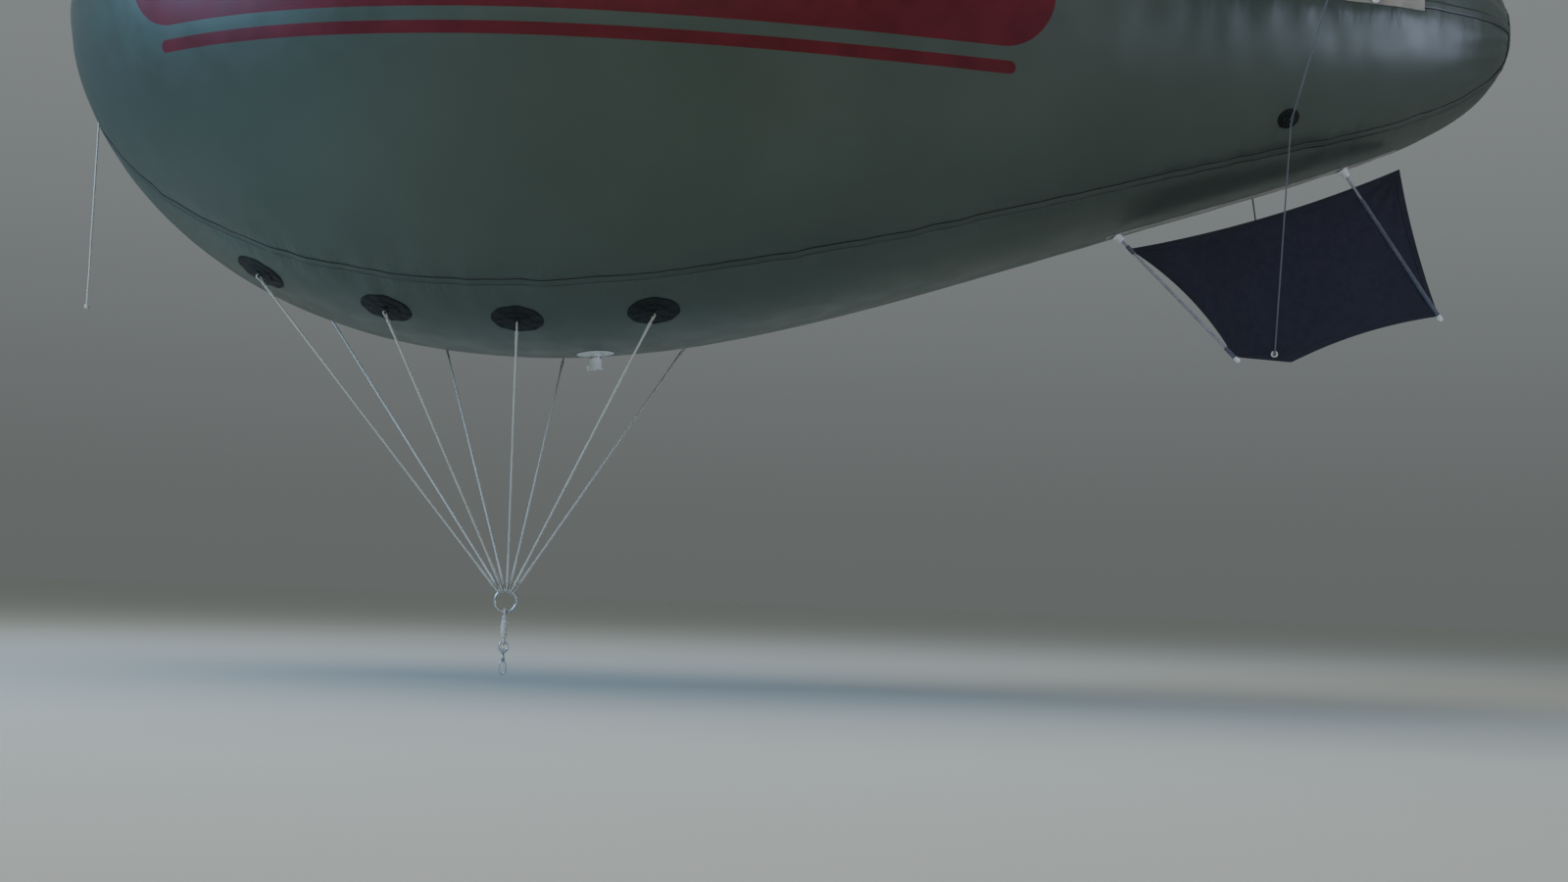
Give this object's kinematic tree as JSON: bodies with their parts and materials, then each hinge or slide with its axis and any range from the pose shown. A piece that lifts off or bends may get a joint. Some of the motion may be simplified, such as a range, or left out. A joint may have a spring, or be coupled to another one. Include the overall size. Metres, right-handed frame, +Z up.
{
  "type": "advertising blimp balloon",
  "caption": "Tethered helium blimp with a silver hull, navy tail fins held by poles and guys, and belly lines gathered to a ring, swivel and snap hook.",
  "frame": {"origin": "centre of the gas on the hull's long axis, which the air holds up", "axes": "+X towards the nose, +Y to port, +Z up"},
  "size_m": [6, 2.7978, 4.1437],
  "materials": {
    "hull_film": "satin silver-grey film",
    "fin_cloth": "navy cloth",
    "patch_cloth": "near-black coated cloth",
    "cord": "braided natural cord",
    "guy_cord": "thin braided grey cord",
    "white_rope": "whipped white rope, a little soiled",
    "white_plastic": "moulded white",
    "steel": "stainless",
    "pole": "grey glass fibre"
  },
  "bodies": {
    "balloon": {"envelope": "hull_film", "inflation_flange": "white_plastic", "inflation_neck": "white_plastic", "load_patch_1_port": "patch_cloth", "load_patch_1_starboard": "patch_cloth", "load_patch_2_port": "patch_cloth", "load_patch_2_starboard": "patch_cloth", "load_patch_3_port": "patch_cloth", "load_patch_3_starboard": "patch_cloth", "load_patch_4_port": "patch_cloth", "load_patch_4_starboard": "patch_cloth", "suspension_line_1_port": "cord", "suspension_line_1_starboard": "cord", "suspension_line_2_port": "cord", "suspension_line_2_starboard": "cord", "suspension_line_3_port": "cord", "suspension_line_3_starboard": "cord", "suspension_line_4_port": "cord", "suspension_line_4_starboard": "cord", "gathering_ring": "steel", "tether_pendant": "white_rope", "swivel_bow": "steel", "fin_lower_frame": "pole", "fin_lower_membrane": "fin_cloth", "fin_starboard_frame": "pole", "fin_starboard_membrane": "fin_cloth", "fin_upper_frame": "pole", "fin_upper_membrane": "fin_cloth", "fin_port_frame": "pole", "fin_port_membrane": "fin_cloth", "guy_patch_lower_port": "patch_cloth", "guy_patch_upper_port": "patch_cloth", "guy_patch_upper_starboard": "patch_cloth", "guy_patch_lower_starboard": "patch_cloth", "fin_guys_lower_port": "guy_cord", "fin_guys_upper_port": "guy_cord", "fin_guys_upper_starboard": "guy_cord", "fin_guys_lower_starboard": "guy_cord", "nose_patch": "patch_cloth", "nose_line": "cord"},
    "swivel": {"swivel_spindle": "steel"},
    "hook": {"snap_hook": "steel", "hook_gate": "steel"},
    "lid": {"inflation_lid": "white_plastic"}
  },
  "joints": [
    {"name": "swivel_spin", "type": "hinge", "parent": "balloon", "child": "swivel", "pos_m": [0.542, 0, -2.6451], "axis": [0, 0, 1], "continuous": true},
    {"name": "hook_swing", "type": "hinge", "parent": "swivel", "child": "hook", "pos_m": [0.542, 0, -2.6824], "axis": [0, 1, 0], "range_deg": [-75, 75]},
    {"name": "lid_hinge", "type": "hinge", "parent": "balloon", "child": "lid", "pos_m": [0.2364, 0, -1.45597], "axis": [0, -1, 0], "range_deg": [0, 150]}
  ]
}
